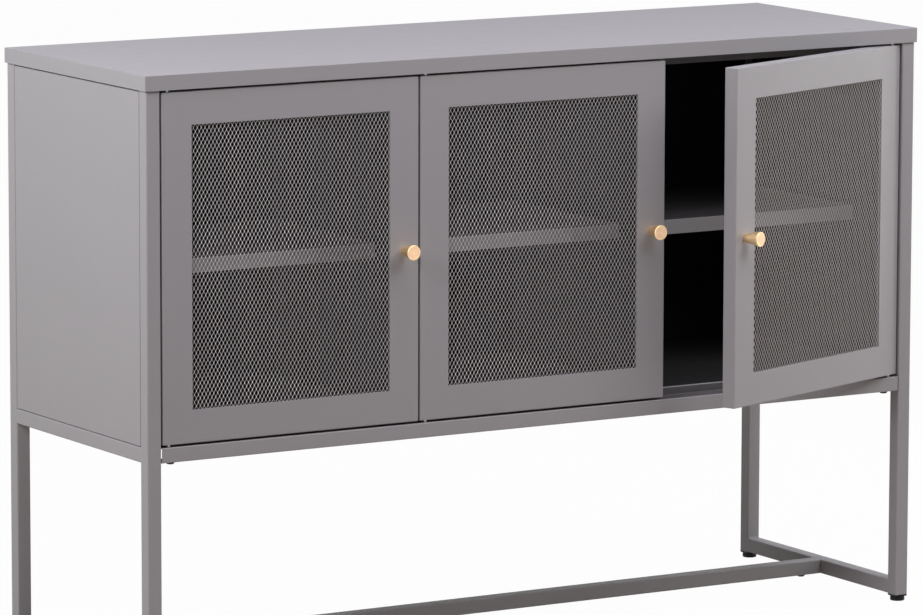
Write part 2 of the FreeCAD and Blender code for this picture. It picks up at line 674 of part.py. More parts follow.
# Back panel: a flat sheet behind the rear legs and the bottom, riveted to the legs.
half_back = f"({OUTER} - back_inset)"
back_up = ("underside", f"{UNDER_TOP} - fit")
back = box("back_sheet", (minus(half_back), half_back), (BACK, f"{BACK} + sheet"), back_up)
back_holes = []
back_rivets = []
for side, hand in SIDES:
    for index, up in enumerate(BACK_RIVETS):
        name = f"{side}_back_rivet_{index}"
        spot = {"x": hand(LEG_X), "z": up}
        back_holes.append(rivet_hole(f"{name}_hole", "y", LEG_TO_BACK, **spot))
        back_rivets.append(rivet(name, "y", LEG_TO_BACK, True, **spot))

# Partitions behind the door boundaries: a sheet with a rear flange riveted to the back panel.
partition_holes = {}
partition_rivets = []
for side, hand in SIDES:
    partition_holes[side] = []
    flange_x = f"({hand(PARTITION)} + partition_flange / 2)"
    for index, up in enumerate(BACK_RIVETS):
        name = f"{side}_partition_rivet_{index}"
        metal = (f"({BACK} - sheet)", f"({BACK} + sheet)")
        back_holes.append(rivet_hole(f"{name}_hole", "y", metal, x=flange_x, z=up))
        partition_holes[side].append(rivet_hole(f"{name}_flange_hole", "y", metal, x=flange_x, z=up))
        partition_rivets.append(rivet(name, "y", metal, True, x=flange_x, z=up))
subpart("back_panel", cut("back_panel", back, back_holes))
subpart("back_panel_rivets", group("back_panel_rivets", back_rivets))
subpart("partition_rivets", group("partition_rivets", partition_rivets))
for side, hand in SIDES:
    web = f"({hand(PARTITION)} + sheet / 2)"
    path = [
        (web, f"{FRONT} + partition_setback"),
        (web, f"{BACK} - sheet"),
        (f"{web} + partition_flange", f"{BACK} - sheet"),
    ]
    web_height = f"{UNDER_TOP} - partition_headroom - {FLOOR}"
    partition = profile(f"{side}_web", "XY_Plane", folded(path, "sheet"), web_height)
    place(partition, z=FLOOR)
    metal = (f"{web} - sheet - bearer_wall", f"{web} + bearer_wall")
    for index, deep in enumerate(BEARER_RIVETS):
        hole = rivet_hole(f"{side}_web_hole_{index}", "x", metal, y=deep, z=BEARER_RIVET_Z)
        partition_holes[side].append(hole)
    subpart(f"{side}_partition", cut(f"{side}_partition", partition, partition_holes[side]))

# Shelves with a front and a rear lip, laid on angle bearers at both ends.
LEFT_WEB = f"({minus(PARTITION)} - sheet / 2)", f"({minus(PARTITION)} + sheet / 2)"
RIGHT_WEB = f"({PARTITION} - sheet / 2)", f"({PARTITION} + sheet / 2)"
BAYS = (
    ("left", minus(INNER), LEFT_WEB[0]),
    ("middle", LEFT_WEB[1], RIGHT_WEB[0]),
    ("right", RIGHT_WEB[1], INNER),
)
bearers = []
bearer_rivets = []
shelf_back = f"({BACK} - rivet_tail - 2 * sheet)"
for bay, low, high in BAYS:
    path = [
        (SHELF_FRONT, "shelf_height - shelf_lip"),
        (SHELF_FRONT, "shelf_height"),
        (shelf_back, "shelf_height"),
        (shelf_back, "shelf_height - shelf_rear_lip"),
    ]
    shelf_width = f"{high} - {low} - 2 * shelf_end_gap"
    shelf = profile(f"{bay}_shelf", "YZ_Plane", folded(path[::-1], "sheet"), shelf_width)
    place(shelf, f"{low} + shelf_end_gap")
    subpart(f"{bay}_shelf", shelf)
    for end, wall, sign in (("low", low, "+"), ("high", high, "-")):
        name = f"{bay}_{end}_bearer"
        path = [
            (wall, f"{SHELF_UNDER} - bearer_leg"),
            (wall, SHELF_UNDER),
            (f"{wall} {sign} bearer_leg", SHELF_UNDER),
        ]
        path = path[::-1] if sign == "+" else path
        run = f"{BEARER_BACK} - {BEARER_FRONT}"
        bearer = profile(f"{name}_angle", "XZ_Plane", folded(path, "bearer_wall"), run)
        place(bearer, y=BEARER_BACK)
        upright = (wall, f"{wall} + bearer_wall") if sign == "+" else (f"{wall} - bearer_wall", wall)
        holes = []
        for index, deep in enumerate(BEARER_RIVETS):
            hole = rivet_hole(f"{name}_hole_{index}", "x", upright, y=deep, z=BEARER_RIVET_Z)
            holes.append(hole)
        bearers.append(cut(name, bearer, holes))
for deep_index, deep in enumerate(BEARER_RIVETS):
    for name, low, high, tail_first in (
        ("left_panel", f"{minus(INNER)} - sheet", f"{minus(INNER)} + bearer_wall", True),
        ("left_web", f"{LEFT_WEB[0]} - bearer_wall", f"{LEFT_WEB[1]} + bearer_wall", False),
        ("right_web", f"{RIGHT_WEB[0]} - bearer_wall", f"{RIGHT_WEB[1]} + bearer_wall", False),
        ("right_panel", f"{INNER} - bearer_wall", f"{INNER} + sheet", False),
    ):
        spot = {"y": deep, "z": BEARER_RIVET_Z}
        bearer_rivets.append(rivet(f"{name}_rivet_{deep_index}", "x", (low, high), tail_first, **spot))
subpart("shelf_bearers", group("shelf_bearers", bearers))
subpart("bearer_rivets", group("bearer_rivets", bearer_rivets))

# Magnetic catches on the partitions, one behind each door's free edge.
DOOR_BACK = f"({FRONT} + door_depth)"
middle_up = f"({LEDGE} + door_clear + {DOOR_HEIGHT} / 2)"
catches = []
for door, across in (
    ("left", (f"{LEFT_WEB[0]} - catch_width", LEFT_WEB[0])),
    ("middle", (f"{RIGHT_WEB[0]} - catch_width", RIGHT_WEB[0])),
    ("right", (RIGHT_WEB[1], f"{RIGHT_WEB[1]} + catch_width")),
):
    deep = (f"{DOOR_BACK} + fit", f"{DOOR_BACK} + fit + catch_depth")
    up = (f"{middle_up} - catch_height / 2", f"{middle_up} + catch_height / 2")
    catches.append(box(f"{door}_catch", across, deep, up))
subpart("magnetic_catches", group("magnetic_catches", catches))


def on_door(piece, pin_x, angle, along="0", up="0"):
    """Place a door piece by its distance from the pin along the door, and swing it with the door."""
    piece.Placement = Placement(Vector(), Rotation(Vector(0, 0, 1), 1))
    piece.setExpression("Placement.Rotation.Angle", formula(angle))
    x = f"{pin_x} + ({along}) * cos({angle})"
    y = f"{PIN_Y} + ({along}) * sin({angle})"
    place(piece, x, y, f"{LEDGE} + door_clear + {up}")
    return piece


def loop(depth, *points):
    """A closed outline in an upright plane."""
    return Part.makePolygon([Vector(across, depth, up) for across, up in points + points[:1]])


def net(width, height, hole_width, hole_height, depth):
    """A flat sheet of the outer size at a depth, pierced with diamonds inside the window."""
    across_step = number("mesh_pitch_across")
    up_step = number("mesh_pitch_up")
    half_across = across_step / 2 - number("mesh_strand") / 2
    half_up = half_across * up_step / across_step
    columns = int(hole_width // across_step)
    rows = int(hole_height // up_step)
    right = width / 2
    top = height / 2
    wires = [loop(depth, (-right, -top), (right, -top), (right, top), (-right, top))]
    for shift in (0, 1):
        for column in range(columns - shift):
            for row in range(rows - shift):
                x = (column - (columns - 1 - shift) / 2) * across_step
                z = (row - (rows - 1 - shift) / 2) * up_step
                tips = (x - half_across, z), (x, z - half_up), (x + half_across, z), (x, z + half_up)
                wires.append(loop(depth, *tips))
    return Part.makeFace(wires, "Part::FaceMakerBullseye").extrude(Vector(0, number("mesh_thickness"), 0))


def door_span(hand, low, high):
    """Places between a door's hinge edge and its free edge, measured from the hinge edge, low end first."""
    spots = [f"({text} - pin_inset)" for text in (low, high)]
    return tuple(spots) if hand > 0 else (minus(spots[1]), minus(spots[0]))


# Doors, each drawn from its pin: X along the door, Y from the pin to the back, Z up from its lower edge.
FACE = "(-pin_setback)"
REAR = "(door_depth - pin_setback)"
for door, pin_x, hand in DOORS:
    angle = "ajar_angle" if door == "right" else "0"
    knob_x = door_span(hand, "0", f"{DOOR_WIDTH} - knob_inset")[1 if hand > 0 else 0]
    window_x = door_span(hand, "stile", f"{DOOR_WIDTH} - stile")
    window_z = ("stile", f"{DOOR_HEIGHT} - stile")

    # Pan: sheet folded back all round and in again behind, with a window in its face.
    block = box(f"{door}_door_block", door_span(hand, "0", DOOR_WIDTH), (FACE, REAR), ("0", DOOR_HEIGHT))
    doc.recompute()
    in_face = number(FACE) + NEAR
    shell = rounded(f"{door}_door_shell", block, "door_edge", lambda edge: edge.BoundBox.YMax < in_face)
    rim = "(sheet + door_flange)"
    cuts = [
        box(
            f"{door}_door_hollow",
            door_span(hand, "sheet", f"{DOOR_WIDTH} - sheet"),
            (f"{FACE} + sheet", f"{REAR} - sheet"),
            ("sheet", f"{DOOR_HEIGHT} - sheet"),
        ),
        box(
            f"{door}_door_opening",
            door_span(hand, rim, f"{DOOR_WIDTH} - {rim}"),
            (f"{REAR} - sheet - overrun", f"{REAR} + overrun"),
            (rim, f"{DOOR_HEIGHT} - {rim}"),
        ),
        box(f"{door}_door_window", window_x, (f"{FACE} - overrun", f"{FACE} + sheet + overrun"), window_z),
    ]
    pin_hole = "pin_diameter + 2 * pin_play"
    for end, edge in (("lower", "0"), ("upper", DOOR_HEIGHT)):
        through = (f"{edge} - overrun", f"{edge} + overrun")
        cuts.append(rod(f"{door}_{end}_pin_hole", pin_hole, "0", "0", through))
    through = (f"{FACE} - overrun", f"{FACE} + sheet + overrun")
    screw_hole = "screw_diameter + 2 * hole_play"
    cuts.append(rod(f"{door}_screw_hole", screw_hole, knob_x, through, f"{DOOR_HEIGHT} / 2"))
    subpart(f"{door}_door_panel", on_door(cut(f"{door}_door_panel", shell, cuts), pin_x, angle))

    # Expanded metal behind the window, and the flat frame welded over its border.
    mesh = doc.addObject("Part::Feature", f"{door}_door_mesh")
    window_width = number(f"{DOOR_WIDTH} - 2 * stile")
    window_height = number(f"{DOOR_HEIGHT} - 2 * stile")
    border = number("2 * mesh_overlap")
    mesh_face = number(f"{FACE} + sheet")
    mesh.Shape = net(window_width + border, window_height + border, window_width, window_height, mesh_face)
    door_middle = f"({DOOR_WIDTH} / 2 - pin_inset)"
    on_door(mesh, pin_x, angle, door_middle if hand > 0 else minus(door_middle), f"{DOOR_HEIGHT} / 2")
    subpart(f"{door}_door_mesh", mesh)
    behind = (f"{FACE} + sheet + mesh_thickness", f"{FACE} + 2 * sheet + mesh_thickness")
    edge = "(stile - mesh_overlap)"
    frame_x = door_span(hand, edge, f"{DOOR_WIDTH} - {edge}")
    frame = box(f"{door}_frame_block", frame_x, behind, (edge, f"{DOOR_HEIGHT} - {edge}"))
    past = (f"{behind[0]} - overrun", f"{behind[1]} + overrun")
    opening = box(f"{door}_frame_opening", window_x, past, window_z)
    subpart(f"{door}_mesh_frame", on_door(cut(f"{door}_mesh_frame", frame, [opening]), pin_x, angle))

    # Hinge pins, headed inside the door and standing out of its upper and lower edges.
    pins = []
    for end, low, high, head in (
        ("lower", minus("pin_reach"), "sheet + pin_grip", ("sheet", "sheet + pin_head_height")),
        (
            "upper",
            f"{DOOR_HEIGHT} - sheet - pin_grip",
            f"{DOOR_HEIGHT} + pin_reach",
            (f"{DOOR_HEIGHT} - sheet - pin_head_height", f"{DOOR_HEIGHT} - sheet"),
        ),
    ):
        shank = rod(f"{door}_{end}_pin_shank", "pin_diameter", "0", "0", (low, high))
        collar = rod(f"{door}_{end}_pin_head", "pin_head", "0", "0", head)
        pins.append(join(f"{door}_{end}_pin", [shank, collar]))
    subpart(f"{door}_hinge_pins", on_door(group(f"{door}_hinge_pins", pins), pin_x, angle))

    # Brass knob, a flared cone, and the screw that holds it from behind the face.
    knob = turned(
        f"{door}_knob",
        [
            ("screw_diameter / 2 + hole_play", FACE),
            ("knob_base / 2", FACE),
            ("knob_face / 2", f"{FACE} - knob_length + knob_rim"),
            ("knob_face / 2", f"{FACE} - knob_length + knob_bevel"),
            ("knob_face / 2 - knob_bevel", f"{FACE} - knob_length"),
            ("0", f"{FACE} - knob_length"),
            ("0", f"{FACE} - knob_bore"),
            ("screw_diameter / 2 + hole_play", f"{FACE} - knob_bore"),
        ],
    )
    subpart(f"{door}_knob", on_door(knob, pin_x, angle, knob_x, f"{DOOR_HEIGHT} / 2"))
    screw = turned(
        f"{door}_knob_screw",
        [
            ("0", f"{FACE} - screw_reach"),
            ("screw_diameter / 2", f"{FACE} - screw_reach"),
            ("screw_diameter / 2", f"{FACE} + sheet"),
            ("screw_head / 2", f"{FACE} + sheet"),
            ("screw_head / 2", f"{FACE} + sheet + screw_head_height"),
            ("0", f"{FACE} + sheet + screw_head_height"),
        ],
    )
    subpart(f"{door}_knob_screw", on_door(screw, pin_x, angle, knob_x, f"{DOOR_HEIGHT} / 2"))

doc.recompute()
failed = [piece.Label for piece in doc.Objects if {"Invalid", "Error"} & set(piece.State)]
failed += [piece.Label for piece in subparts if piece.Shape.isNull() or not piece.Shape.isValid()]
if failed:
    raise RuntimeError(f"these did not build: {failed}")

os.makedirs("parts", exist_ok=True)
for piece in subparts:
    piece.Shape.exportStep(f"parts/{piece.Label}.step")
    span = piece.Shape.BoundBox
    volume = piece.Shape.Volume / 1000
    print(f"{piece.Label}: {len(piece.Shape.Solids)} solids, {volume:.1f} cm3, z {span.ZMin:.1f}")
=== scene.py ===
import json
import math

import bmesh
import bpy
from mathutils import Matrix, Vector


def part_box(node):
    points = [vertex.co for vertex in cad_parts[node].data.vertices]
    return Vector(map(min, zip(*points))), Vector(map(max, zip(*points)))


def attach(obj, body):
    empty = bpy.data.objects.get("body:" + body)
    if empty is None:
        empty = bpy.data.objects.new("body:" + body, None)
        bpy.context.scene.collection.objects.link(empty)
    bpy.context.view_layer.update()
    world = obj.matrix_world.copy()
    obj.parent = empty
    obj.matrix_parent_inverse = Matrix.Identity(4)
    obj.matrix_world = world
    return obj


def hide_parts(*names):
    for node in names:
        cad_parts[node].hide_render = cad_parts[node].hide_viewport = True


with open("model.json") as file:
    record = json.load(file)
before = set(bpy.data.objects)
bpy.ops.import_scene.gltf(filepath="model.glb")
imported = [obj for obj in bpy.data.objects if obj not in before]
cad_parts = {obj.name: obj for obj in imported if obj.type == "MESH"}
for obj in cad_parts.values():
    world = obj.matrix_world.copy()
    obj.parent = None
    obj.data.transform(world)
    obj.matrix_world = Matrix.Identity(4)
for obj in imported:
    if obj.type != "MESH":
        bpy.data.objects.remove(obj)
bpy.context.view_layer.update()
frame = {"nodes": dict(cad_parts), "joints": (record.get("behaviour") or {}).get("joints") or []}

# End frames
# Each end of the cabinet is a ladder of 20 mm square steel tube: two legs with a top rail, a middle
# rail and a floor rail between them. The tubes are welded, the welds on the outer faces are ground
# flush, and the frame is sprayed with grey powder and baked in one piece.
TUBE_CORNER = 0.002
BEAD = 0.0015
BEAD_LONG = 0.0165
BEAD_END = 0.6 * BEAD
GREY = (0.344, 0.336, 0.351)
SMOOTH_BELOW = math.radians(40)
NEAR = 0.0001
ALONG = 0.99
FACING = 0.9


def block(low, high):
    """A cube between two corners, with its place in its mesh."""
    bpy.ops.object.select_all(action="DESELECT")
    bpy.ops.mesh.primitive_cube_add(size=1, location=(low + high) / 2, scale=high - low)
    bpy.ops.object.transform_apply()
    return bpy.context.object


def pick(kind, test):
    """Selects the vertices, edges or faces of the open mesh whose middle passes a test."""
    bpy.ops.mesh.select_mode(type=kind)
    bpy.ops.mesh.select_all(action="DESELECT")
    mesh = bpy.context.object.data
    form = bmesh.from_edit_mesh(mesh)
    for item in {"VERT": form.verts, "EDGE": form.edges, "FACE": form.faces}[kind]:
        corners = [item] if kind == "VERT" else item.verts
        middle = sum((corner.co for corner in corners), Vector()) / len(corners)
        if test(middle, item):
            item.select_set(True)
    form.select_flush_mode()
    bmesh.update_edit_mesh(mesh)


def runs(edge, axis):
    """Whether an edge lies along the X, Y or Z axis, 0 to 2."""
    return abs((edge.verts[1].co - edge.verts[0].co).normalized()[axis]) > ALONG


def tube(node, longer=0):
    """A length of square tube where a solid is, its long edges rounded as drawn tube is."""
    low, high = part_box(node)
    longest = max(range(3), key=lambda axis: high[axis] - low[axis])
    low[longest] -= longer
    high[longest] += longer
    piece = block(low, high)
    bpy.ops.object.mode_set(mode="EDIT")
    pick("EDGE", lambda middle, edge: runs(edge, longest))
    bpy.ops.mesh.bevel(offset=TUBE_CORNER, segments=4, affect="EDGES")
    bpy.ops.object.mode_set(mode="OBJECT")
    return piece


def only(piece):
    """Selects one piece and nothing else."""
    bpy.ops.object.select_all(action="DESELECT")
    piece.select_set(True)
    bpy.context.view_layer.objects.active = piece


def joined(pieces):
    """One object made of several."""
    only(pieces[0])
    for piece in pieces:
        piece.select_set(True)
    bpy.ops.object.join()
    return bpy.context.object


def bead(x, y, z):
    """A fillet weld across the tube, in the corner between a rail and a leg."""
    bpy.ops.object.select_all(action="DESELECT")
    bpy.ops.mesh.primitive_cylinder_add(
        vertices=12, radius=BEAD, depth=BEAD_LONG, location=(x, y, z), rotation=(0, math.pi / 2, 0)
    )
    bpy.ops.object.transform_apply()
    bpy.ops.object.mode_set(mode="EDIT")
    pick("FACE", lambda middle, face: abs(face.normal.x) > FACING)
    bpy.ops.mesh.bevel(offset=BEAD_END, segments=2, affect="EDGES")
    bpy.ops.object.mode_set(mode="OBJECT")
    return bpy.context.object


def powder_surface():
    """Shared surface of sprayed finishes: faint clouds, an uneven sheen and a fine peel."""
    clouds_per_metre = 7
    streaks_per_metre = 45
    sheen_spread = 0.16
    group = bpy.data.node_groups.new("powder_surface", "ShaderNodeTree")
    for name, kind in (("Coat", "Color"), ("Cloud", "Float"), ("Sheen", "Float"), ("Grain", "Float")):
        group.interface.new_socket(name, in_out="INPUT", socket_type=f"NodeSocket{kind}")
    for name, kind in (("Color", "Color"), ("Roughness", "Float"), ("Peel", "Float")):
        group.interface.new_socket(name, in_out="OUTPUT", socket_type=f"NodeSocket{kind}")
    nodes, links = group.nodes, group.links
    given = nodes.new("NodeGroupInput")
    result = nodes.new("NodeGroupOutput")
    place = nodes.new("ShaderNodeTexCoord").outputs["Object"]
    clouds = nodes.new("ShaderNodeTexNoise")
    clouds.inputs["Scale"].default_value = clouds_per_metre
    clouds.inputs["Detail"].default_value = 4
    links.new(place, clouds.inputs["Vector"])
    centred = nodes.new("ShaderNodeMath")
    centred.operation = "SUBTRACT"
    centred.inputs[1].default_value = 0.5
    links.new(clouds.outputs["Fac"], centred.inputs[0])
    shade = nodes.new("ShaderNodeMath")
    shade.operation = "MULTIPLY_ADD"
    shade.inputs[2].default_value = 1
    links.new(centred.outputs[0], shade.inputs[0])
    links.new(given.outputs["Cloud"], shade.inputs[1])
    tinted = nodes.new("ShaderNodeVectorMath")
    tinted.operation = "SCALE"
    links.new(given.outputs["Coat"], tinted.inputs[0])
    links.new(shade.outputs[0], tinted.inputs["Scale"])
    links.new(tinted.outputs[0], result.inputs["Color"])
    streaks = nodes.new("ShaderNodeTexNoise")
    streaks.inputs["Scale"].default_value = streaks_per_metre
    streaks.inputs["Detail"].default_value = 3
    links.new(place, streaks.inputs["Vector"])
    spread = nodes.new("ShaderNodeMath")
    spread.operation = "MULTIPLY_ADD"
    spread.inputs[1].default_value = sheen_spread
    links.new(streaks.outputs["Fac"], spread.inputs[0])
    lower = nodes.new("ShaderNodeMath")
    lower.operation = "SUBTRACT"
    lower.inputs[1].default_value = sheen_spread / 2
    links.new(given.outputs["Sheen"], lower.inputs[0])
    links.new(lower.outputs[0], spread.inputs[2])
    links.new(spread.outputs[0], result.inputs["Roughness"])
    peel = nodes.new("ShaderNodeTexNoise")
    peel.inputs["Detail"].default_value = 2
    links.new(place, peel.inputs["Vector"])
    links.new(given.outputs["Grain"], peel.inputs["Scale"])
    links.new(peel.outputs["Fac"], result.inputs["Peel"])
    return group


POWDER = powder_surface()


def coat(name, colour, cloud=0.04, sheen=0.55, grain=520, peel=0.12, gloss=0.25):
    """A sprayed or moulded finish of one colour, also used for painted shade and painted light."""
    material = bpy.data.materials.new(name)
    material.use_nodes = True
    nodes, links = material.node_tree.nodes, material.node_tree.links
    shader = nodes["Principled BSDF"]
    shader.inputs["Specular IOR Level"].default_value = gloss
    surface = nodes.new("ShaderNodeGroup")
    surface.node_tree = POWDER
    surface.inputs["Coat"].default_value = (*colour, 1)
    surface.inputs["Cloud"].default_value = cloud
    surface.inputs["Sheen"].default_value = sheen
    surface.inputs["Grain"].default_value = grain
    bump = nodes.new("ShaderNodeBump")
    bump.inputs["Strength"].default_value = peel
    bump.inputs["Distance"].default_value = 0.0002
    links.new(surface.outputs["Color"], shader.inputs["Base Color"])
    links.new(surface.outputs["Roughness"], shader.inputs["Roughness"])
    links.new(surface.outputs["Peel"], bump.inputs["Height"])
    links.new(bump.outputs["Normal"], shader.inputs["Normal"])
    return material


def dress(piece, name, body, slot, material, *nodes):
    """Names and coats a finished piece, and puts it on its body in place of its solids."""
    piece.name = name
    piece.data.name = name
    only(piece)
    bpy.ops.object.shade_smooth_by_angle(angle=SMOOTH_BELOW)
    bpy.ops.object.modifier_add(type="WEIGHTED_NORMAL")
    piece.modifiers[-1].keep_sharp = True
    bpy.ops.object.modifier_apply(modifier=piece.modifiers[-1].name)
    piece.data.materials.clear()
    piece.data.materials.append(material)
    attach(piece, body)
    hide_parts(*nodes)


grey_coat = coat("grey_powder_coat", GREY)
TUBES = ("front_leg", "rear_leg", "top_rail", "middle_rail", "floor_rail")
for side in ("left", "right"):
    solids = [f"{side}_{name}" for name in TUBES]
    pieces = [tube(node, TUBE_CORNER if "rail" in node else 0) for node in solids]
    leg_low, leg_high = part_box(f"{side}_front_leg")
    across = (leg_low.x + leg_high.x) / 2
    middle_low, middle_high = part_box(f"{side}_middle_rail")
    floor_low, floor_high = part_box(f"{side}_floor_rail")
    for y in (middle_low.y, middle_high.y):
        for z in (middle_low.z, floor_low.z + BEAD / 2, floor_high.z):
            pieces.append(bead(across, y, z))
    dress(joined(pieces), f"{side}_end_frame", "cabinet", "grey_powder_coat", grey_coat, *solids)

# Side panels
# A folded steel tray on each end, let into the frame above the middle rail. Its outer face lies a
# hair behind the tubes, and an open seam runs round it, which reads as a dark line.
SEAM = 0.001
SEAM_DEPTH = 0.006
PANEL_EDGE = 0.0006
for side, out in (("left", -1), ("right", 1)):
    low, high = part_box(f"{side}_side_panel")
    outer = low if out < 0 else high
    outer.x -= out * SEAM_DEPTH
    panel = block(low, high)
    bpy.ops.object.mode_set(mode="EDIT")
    pick("FACE", lambda middle, face: face.normal.x * out > FACING)
    bpy.ops.mesh.inset(thickness=SEAM)
    bpy.ops.mesh.extrude_region_move(TRANSFORM_OT_translate={"value": (out * SEAM_DEPTH, 0, 0)})
    bpy.ops.mesh.bevel(offset=PANEL_EDGE, segments=3, affect="EDGES")
    bpy.ops.object.mode_set(mode="OBJECT")
    node = f"{side}_side_panel"
    dress(panel, f"{node}_skin", "cabinet", "grey_powder_coat", grey_coat, node)

# Stretcher
# One bar of the same tube runs between the two floor rails, near the ground. It slips over a plated
# spigot at each end, and a blackened button-head bolt from below holds it there.
SLACK = 0.0003
dress(tube("stretcher_bar", SLACK), "stretcher", "cabinet", "grey_powder_coat", grey_coat, "stretcher_bar")
HEAD = 0.0055
HEAD_DEEP = 0.0033
HEAD_ROUND = 0.0023
SOCKET = 0.0024
SOCKET_DEEP = 0.002


def copied(piece, shift):
    """A copy with its own mesh, moved by a shift."""
    only(piece)
    bpy.ops.object.duplicate(linked=False)
    bpy.ops.transform.translate(value=shift)
    bpy.ops.object.transform_apply()
    return bpy.context.object


def button_bolt():
    """The head of a button bolt seen from below, with its hexagon socket, seated at the origin."""
    bpy.ops.object.select_all(action="DESELECT")
    bpy.ops.mesh.primitive_cylinder_add(
        vertices=36, radius=HEAD, depth=HEAD_DEEP, location=(0, 0, -HEAD_DEEP / 2)
    )
    bpy.ops.object.transform_apply()
    bpy.ops.object.mode_set(mode="EDIT")
    pick("EDGE", lambda middle, edge: middle.z < NEAR - HEAD_DEEP)
    bpy.ops.mesh.bevel(offset=HEAD_ROUND, segments=5, affect="EDGES")
    pick("FACE", lambda middle, face: face.normal.z < -ALONG)
    bpy.ops.mesh.delete(type="ONLY_FACE")
    bpy.ops.mesh.primitive_circle_add(vertices=6, radius=SOCKET, location=(0, 0, -HEAD_DEEP))
    pick("EDGE", lambda middle, edge: len(edge.link_faces) < 2)
    bpy.ops.mesh.bridge_edge_loops()
    pick("EDGE", lambda middle, edge: len(edge.link_faces) < 2)
    bpy.ops.mesh.extrude_region_move(TRANSFORM_OT_translate={"value": (0, 0, SOCKET_DEEP)})
    bpy.ops.mesh.edge_face_add()
    bpy.ops.mesh.select_all(action="SELECT")
    bpy.ops.mesh.normals_make_consistent(inside=False)
    bpy.ops.object.mode_set(mode="OBJECT")
    return bpy.context.object


bolt = button_bolt()
black_steel = coat("black_steel", (0.010, 0.010, 0.011), cloud=0.2, sheen=0.4, grain=900, gloss=0.3)
low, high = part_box("stretcher_bolts")
pair = [copied(bolt, (x, 0, low.z + HEAD_DEEP)) for x in (low.x + HEAD, high.x - HEAD)]
dress(joined(pair), "stretcher_bolt_heads", "cabinet", "black_steel", black_steel, "stretcher_bolts")


def plated(name, colour, roughness, marks_per_metre):
    """Plated metal with fine marks from handling, where it is darker and of uneven sheen."""
    marked = [0.82 * value for value in colour]
    uneven = 0.08
    material = bpy.data.materials.new(name)
    material.use_nodes = True
    nodes, links = material.node_tree.nodes, material.node_tree.links
    shader = nodes["Principled BSDF"]
    shader.inputs["Metallic"].default_value = 1
    place = nodes.new("ShaderNodeTexCoord").outputs["Object"]
    marks = nodes.new("ShaderNodeTexNoise")
    marks.inputs["Scale"].default_value = marks_per_metre
    marks.inputs["Detail"].default_value = 5
    links.new(place, marks.inputs["Vector"])
    tone = nodes.new("ShaderNodeValToRGB")
    tone.color_ramp.elements[0].position = 0.3
    tone.color_ramp.elements[0].color = (*marked, 1)
    tone.color_ramp.elements[1].position = 0.7
    tone.color_ramp.elements[1].color = (*colour, 1)
    links.new(marks.outputs["Fac"], tone.inputs["Fac"])
    links.new(tone.outputs["Color"], shader.inputs["Base Color"])
    worn = nodes.new("ShaderNodeMapRange")
    worn.inputs["To Min"].default_value = roughness - uneven
    worn.inputs["To Max"].default_value = roughness + uneven
    links.new(marks.outputs["Fac"], worn.inputs["Value"])
    links.new(worn.outputs["Result"], shader.inputs["Roughness"])
    return material


def paint(material, *nodes):
    """Gives solids that stay as they are their finish."""
    for node in nodes:
        frame["nodes"][node].data.materials.clear()
        frame["nodes"][node].data.materials.append(material)


zinc = plated("bright_zinc", (0.50, 0.51, 0.53), roughness=0.4, marks_per_metre=380)
paint(zinc, "stretcher_spigots")

# Caps and feet
# A black plastic cap closes the lower end of each leg. A moulded levelling foot screws up into it,
# with a flat pad, a rounded rim and a narrower neck that can be gripped to turn it.
low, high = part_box("leg_end_caps")
cap_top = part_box("left_front_leg")[0].z
TUBE = 0.020
CAP_EDGE = 0.0007
cap = block(Vector((low.x, low.y, low.z)), Vector((low.x + TUBE, low.y + TUBE, cap_top)))
bpy.ops.object.mode_set(mode="EDIT")
pick("EDGE", lambda middle, edge: runs(edge, 2))
bpy.ops.mesh.bevel(offset=TUBE_CORNER, segments=4, affect="EDGES")
pick("EDGE", lambda middle, edge: middle.z < low.z + NEAR)
bpy.ops.mesh.bevel(offset=CAP_EDGE, segments=3, affect="EDGES")
bpy.ops.object.mode_set(mode="OBJECT")
corners = [(x, y, 0) for x in (0, high.x - low.x - TUBE) for y in (0, high.y - low.y - TUBE)]
black_plastic = coat(
    "black_plastic", (0.004, 0.004, 0.0045), cloud=0.3, sheen=0.5, grain=1500, peel=0.3, gloss=0.2
)
caps = [copied(cap, shift) for shift in corners]
bpy.data.objects.remove(cap)
dress(joined(caps), "end_caps", "cabinet", "black_plastic", black_plastic, "leg_end_caps")

FOOT = 0.010
PAD = 0.0055
PAD_EDGE = 0.0012
RIM_EDGE = 0.0006
NECK_STEP = 0.0012
foot_axis = Vector((low.x + TUBE / 2, low.y + TUBE / 2))
foot_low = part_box("levelling_feet")[0].z
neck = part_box("leg_end_caps")[0].z
bpy.ops.object.select_all(action="DESELECT")
bpy.ops.mesh.primitive_cylinder_add(
    vertices=40, radius=FOOT, depth=PAD, location=(*foot_axis, foot_low + PAD / 2)
)
bpy.ops.object.transform_apply()
foot = bpy.context.object
bpy.ops.object.mode_set(mode="EDIT")
pick("FACE", lambda middle, face: face.normal.z > FACING)
bpy.ops.mesh.inset(thickness=NECK_STEP)
bpy.ops.mesh.extrude_region_move(TRANSFORM_OT_translate={"value": (0, 0, neck - foot_low - PAD)})
pick("EDGE", lambda middle, edge: middle.z < foot_low + NEAR)
bpy.ops.mesh.bevel(offset=PAD_EDGE, segments=4, affect="EDGES")
pick("EDGE", lambda middle, edge: abs(middle.z - foot_low - PAD) < NEAR
     and (middle.xy - foot_axis).length > FOOT - NECK_STEP / 2)
bpy.ops.mesh.bevel(offset=RIM_EDGE, segments=3, affect="EDGES")
bpy.ops.object.mode_set(mode="OBJECT")
feet = [copied(foot, shift) for shift in corners]
bpy.data.objects.remove(foot)
dress(joined(feet), "feet", "cabinet", "black_plastic", black_plastic, "levelling_feet")

# Hinge bushes
# Turned nylon cups, pressed into the return under the top and into the ledge of the bottom panel. The
# doors' pins turn in them.
nylon = coat("pale_nylon", (0.62, 0.61, 0.56), cloud=0.06, sheen=0.42, grain=1200, peel=0.1)
paint(nylon, "hinge_bushes")

